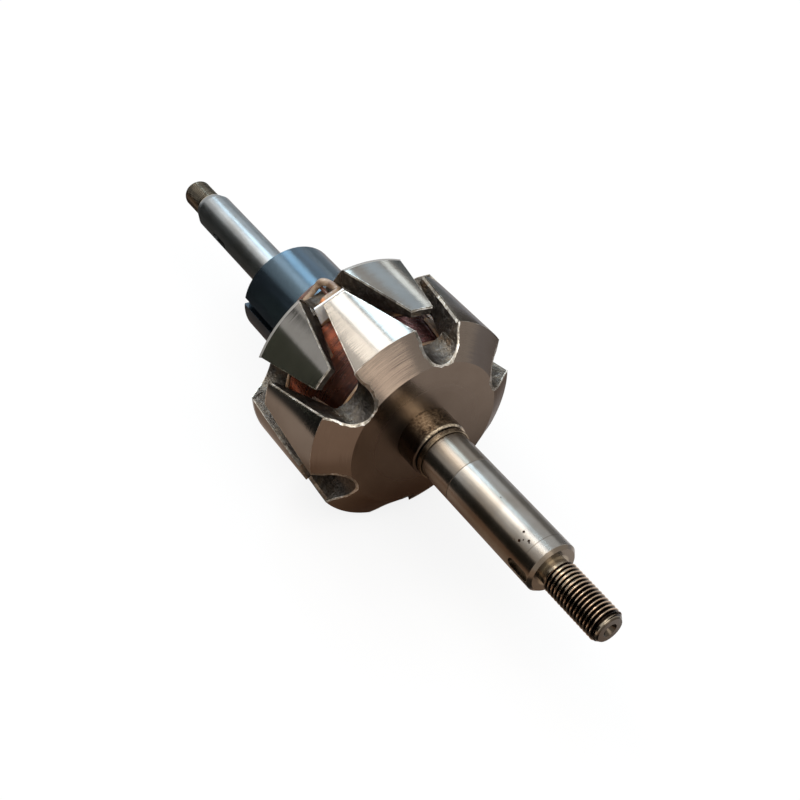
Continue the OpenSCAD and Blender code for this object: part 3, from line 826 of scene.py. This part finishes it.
bobbinSizes = {"edge": 0.22 * mm}
collarSizes = {"edge": 0.25 * mm, "ringEdge": 0.12 * mm}
sleeveSizes = {"edge": 0.3 * mm, "grooveWidth": 3.7 * mm, "grooveDepth": 3.0 * mm, "grooveAngle": 169}
leadSizes = {"lead_wire_start": 0.5 * mm, "lead_wire_end": 0.15 * mm}    # what the coating adds to the radius


def cutGroove(sleeve):
    # a straight groove along the sleeve, open at its ends
    s, (start, end) = sleeveSizes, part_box("rear_sleeve")
    alone()
    bpy.ops.mesh.primitive_cube_add(size=1, location=((start.x + end.x) / 2, end.z, 0))
    cutter = bpy.context.object
    cutter.scale = (end.x - start.x + 2 * mm, 2 * s["grooveDepth"], s["grooveWidth"])
    bpy.ops.object.transform_apply(location=True, rotation=True, scale=True)
    cutter.data.transform(Matrix.Rotation(math.radians(s["grooveAngle"]), 4, "X"))
    cut(sleeve, cutter)


def buildRest():
    bobbin = softened("coil_bobbin", "coilBobbin", 0)
    dress(bobbin, "insulation sheetEdge")
    modify(bobbin, "BEVEL", width=bobbinSizes["edge"], segments=1, limit_method="ANGLE",
           angle_limit=math.radians(50), material=1)
    smoothUnder(bobbin, 32)
    enter(bobbin, "insulation", "coil_bobbin")
    for node, name, width in (("front_collar", "frontCollar", collarSizes["edge"]),
                              ("front_ring", "frontRing", collarSizes["ringEdge"])):
        settle(smoothUnder(softened(node, name, width, 30), 35), "oiled", "oiled_steel", node)
    sleeve = softened("rear_sleeve", "rearSleeve", sleeveSizes["edge"], before=cutGroove)
    settle(smoothUnder(sleeve, 35), "moulding", "black_moulding", "rear_sleeve")
    for node, name, look in (("lead_wire_start", "leadStart", "sleeving"),
                             ("lead_wire_end", "leadEnd", "enamel")):
        lead = editing(softened(node, name, 0),
                       lambda: bpy.ops.transform.shrink_fatten(value=leadSizes[node]))
        alone(lead)
        bpy.ops.object.shade_smooth()
        settle(lead, look, "enamelled_copper", node)


buildRest()
print("bobbin, collar, ring, sleeve and leads done")

stageSizes = {"floor": 8, "lampsAway": 3.4, "whiteSeen": 0.84, "whiteMirrored": 0.12, "fill": 0.66}


def joined(tree, kind, settings, inputs):
    # a node in a plain tree, with its inputs linked or set
    node = tree.nodes.new(kind)
    for key, value in settings.items():
        setattr(node, key, value)
    for key, value in inputs.items():
        if hasattr(value, "links"):
            tree.links.new(value, node.inputs[key])
        else:
            node.inputs[key].default_value = value
    return node.outputs


def seenOrMirrored(tree):
    # 1 for the camera and for what metal and glass show
    path, most = tree.nodes.new("ShaderNodeLightPath").outputs, {"operation": "MAXIMUM"}
    both = joined(tree, "ShaderNodeMath", most, {0: path["Is Camera Ray"], 1: path["Is Glossy Ray"]})[0]
    return path, joined(tree, "ShaderNodeMath", most, {0: both, 1: path["Is Transmission Ray"]})[0]


def buildStage():
    alone()
    bpy.ops.mesh.primitive_plane_add(size=stageSizes["floor"], location=(0, 0, floorZ))
    floor = bpy.context.object
    floor.name = "paleFloor"
    bpy.ops.object.transform_apply(location=True, rotation=True, scale=True)
    pale = bpy.data.materials.new("paleFloor")
    pale.use_nodes = True
    tree = pale.node_tree
    tree.nodes.clear()
    path, both = seenOrMirrored(tree)
    mirrored = joined(tree, "ShaderNodeMapRange", {},
                      {"Value": both, "To Max": stageSizes["whiteMirrored"]})["Result"]
    share = joined(tree, "ShaderNodeMapRange", {}, {"Value": path["Is Camera Ray"], "To Min": mirrored,
                                                    "To Max": stageSizes["whiteSeen"]})["Result"]
    plain = joined(tree, "ShaderNodeBsdfDiffuse", {}, {"Color": (0.9, 0.9, 0.9, 1)})[0]
    white = joined(tree, "ShaderNodeEmission", {}, {"Color": (1, 1, 1, 1)})[0]
    mix = joined(tree, "ShaderNodeMixShader", {}, {0: share, 1: plain, 2: white})[0]
    joined(tree, "ShaderNodeOutputMaterial", {}, {"Surface": mix})
    floor.data.materials.append(pale)
    world = bpy.data.worlds.new("studio")
    scene.world = world
    world.use_nodes = True
    tree = world.node_tree
    strength = joined(tree, "ShaderNodeMapRange", {}, {"Value": seenOrMirrored(tree)[1],
                                                       "To Min": stageSizes["fill"], "To Max": 1.0})["Result"]
    tree.links.new(strength, tree.nodes["Background"].inputs["Strength"])
    tree.nodes["Background"].inputs["Color"].default_value = (1, 1, 1, 1)


def softbox(name, azimuth, elevation, across, tall, radiance, colour):
    # a rectangular lamp that faces the rotor's middle; its place and its size are in degrees
    distance = stageSizes["lampsAway"]
    width, height = (2 * distance * math.tan(math.radians(angle) / 2) for angle in (across, tall))
    lamp = bpy.data.lights.new(name, "AREA")
    lamp.shape = "RECTANGLE"
    lamp.size, lamp.size_y = width, height
    lamp.energy = radiance * math.pi * width * height
    lamp.color = colour
    a, e = math.radians(azimuth), math.radians(elevation)
    way = Vector((math.cos(e) * math.cos(a), math.cos(e) * math.sin(a), math.sin(e)))
    piece = bpy.data.objects.new(name, lamp)
    scene.collection.objects.link(piece)
    piece.location = Vector((middleX, 0, 0)) + way * distance
    piece.rotation_euler = (-way).to_track_quat("-Z", "Y").to_euler()


def onlyMirrored(card, felt):
    # kept out of the picture, the shadows and the diffuse light, so that reflections alone show it
    card.data.materials.append(felt)
    card.visible_camera = card.visible_diffuse = card.visible_shadow = False


def standingCard(name, fromSpot, toSpot, bottomZ, topZ, shade):
    # a plain card on edge beside the rotor, black, green or grey
    alone()
    bpy.ops.mesh.primitive_plane_add(size=1)
    card = bpy.context.object
    card.name = card.data.name = name
    (ax, ay), (bx, by) = fromSpot, toSpot
    corners = [(ax, ay, bottomZ), (bx, by, bottomZ), (ax, ay, topZ), (bx, by, topZ)]
    for vertex, corner in zip(card.data.vertices, corners):
        vertex.co = corner
    felt = bpy.data.materials.new(name)
    felt.use_nodes = True
    inputs = felt.node_tree.nodes["Principled BSDF"].inputs
    inputs["Base Color"].default_value = (*shade, 1)
    inputs["Roughness"].default_value, inputs["Specular IOR Level"].default_value = 1.0, 0.0
    onlyMirrored(card, felt)


matSizes = {"reach": 0.62, "height": 0.4 * mm, "brown": (0.67, 0.52, 0.43), "pale": (0.84, 0.79, 0.77),
            "shade": (0.48, 0.36, 0.28), "dim": (0.34, 0.22, 0.16), "rearShade": (0.065, 0.060, 0.055),
            "paleBack": (0.44, 0.39, 0.37), "far": (0.56, 0.58, 0.645), "sleeveShade": (0.13, 0.10, 0.085)}


def brownMat():
    # a mat under the rotor, seen only in reflections, with painted shade in the zones beneath it, behind it and
    # beside its seat and sleeve
    alone()
    bpy.ops.mesh.primitive_plane_add(size=2 * matSizes["reach"], location=(0, 0, floorZ + matSizes["height"]))
    card = bpy.context.object
    card.name = card.data.name = "brownMat"
    bpy.ops.object.transform_apply(location=True, rotation=True, scale=True)
    f = Finish("brownMat", Roughness=1.0, Specular_IOR_Level=0.0)
    besideSeat = f.x.between(-85 * mm, -65 * mm, 5 * mm, 45 * mm)
    colour = f.blend(besideSeat, matSizes["brown"], matSizes["dim"])
    pale = f.blend(f.x.step(-5 * mm, 30 * mm), matSizes["paleBack"], matSizes["pale"])
    pale = f.blend(f.y.step(135 * mm, 175 * mm), pale, matSizes["far"])
    colour = f.blend(f.y.step(-50 * mm, 40 * mm), colour, pale)
    beneath = f.y.between(-92 * mm, -66 * mm, 20 * mm, 44 * mm) * f.x.step(-95 * mm, -60 * mm)
    colour = f.blend(beneath, colour, matSizes["shade"])
    underSeat = f.x.between(-70 * mm, -45 * mm, 0.0, 16 * mm) * f.y.step(-48 * mm, -22 * mm)
    colour = f.blend(underSeat * f.y.fall(20 * mm, 44 * mm), colour, matSizes["dim"])
    ahead = f.x.step(36 * mm, 48 * mm) * f.y.step(-84 * mm, -70 * mm) * f.y.fall(-14 * mm, -2 * mm)
    colour = f.blend(ahead, colour, matSizes["rearShade"])
    behind = f.x.fall(-200 * mm, -150 * mm) * f.y.fall(0.0, 45 * mm)
    colour = f.blend(behind, colour, matSizes["rearShade"])
    besideSleeve = f.x.between(-225 * mm, -205 * mm, -142 * mm, -122 * mm) * f.y.step(-106 * mm, -94 * mm)
    colour = f.blend(besideSleeve * f.y.fall(0.0, 40 * mm), colour, matSizes["sleeveShade"])
    onlyMirrored(card, f.finishWith(Base_Color=colour))


# azimuth, elevation, width and height in degrees, then brightness and colour
lamps = {"skyBlue": (157, 45, 12, 24, 6.6, (0.60, 0.83, 1.0)),
         "skyWhite": (179, 54, 12, 25, 4.6, (0.98, 0.99, 1.0)),
         "skyCream": (-160, 57, 12, 22, 3.4, (1.0, 0.92, 0.82)),
         "skyLow": (-145, 47, 15, 13, 0.9, (1.0, 0.87, 0.73)),
         "overhead": (-4, 54, 38, 34, 3.2, (1.0, 0.98, 0.95)),
         "sideFill": (137, 25, 16, 12, 0.85, (0.35, 0.68, 1.0)),
         "sideStreak": (131, 15, 4, 7, 3.6, (0.80, 0.93, 1.0)),
         "frontFill": (4, 13, 27, 11, 2.35, (1.0, 0.93, 0.84))}
# the two ends on the floor, then bottom, top and shade
cards = {"blackCard": ((-0.165, -0.20), (0.16, -0.20), floorZ + mm, 0.13, (0.030, 0.030, 0.027)),
         "greenCard": ((-0.295, -0.20), (-0.165, -0.20), -20 * mm, 0.13, (0.15, 0.155, 0.12)),
         "rearBlackCard": ((-0.75, -0.20), (-0.295, -0.20), floorZ + mm, 0.26, (0.030, 0.030, 0.027)),
         "greyCard": ((-0.17, 0.20), (0.0, 0.20), floorZ + mm, 0.095, (0.34, 0.33, 0.32)),
         "coolCard": ((-0.55, 0.23), (-0.18, 0.20), floorZ + mm, 0.08, (0.52, 0.60, 0.66))}

buildStage()
for name, values in lamps.items():
    softbox(name, *values)
for name, values in cards.items():
    standingCard(name, *values)
brownMat()
scene.view_settings.view_transform = "Standard"
print("stage lit")
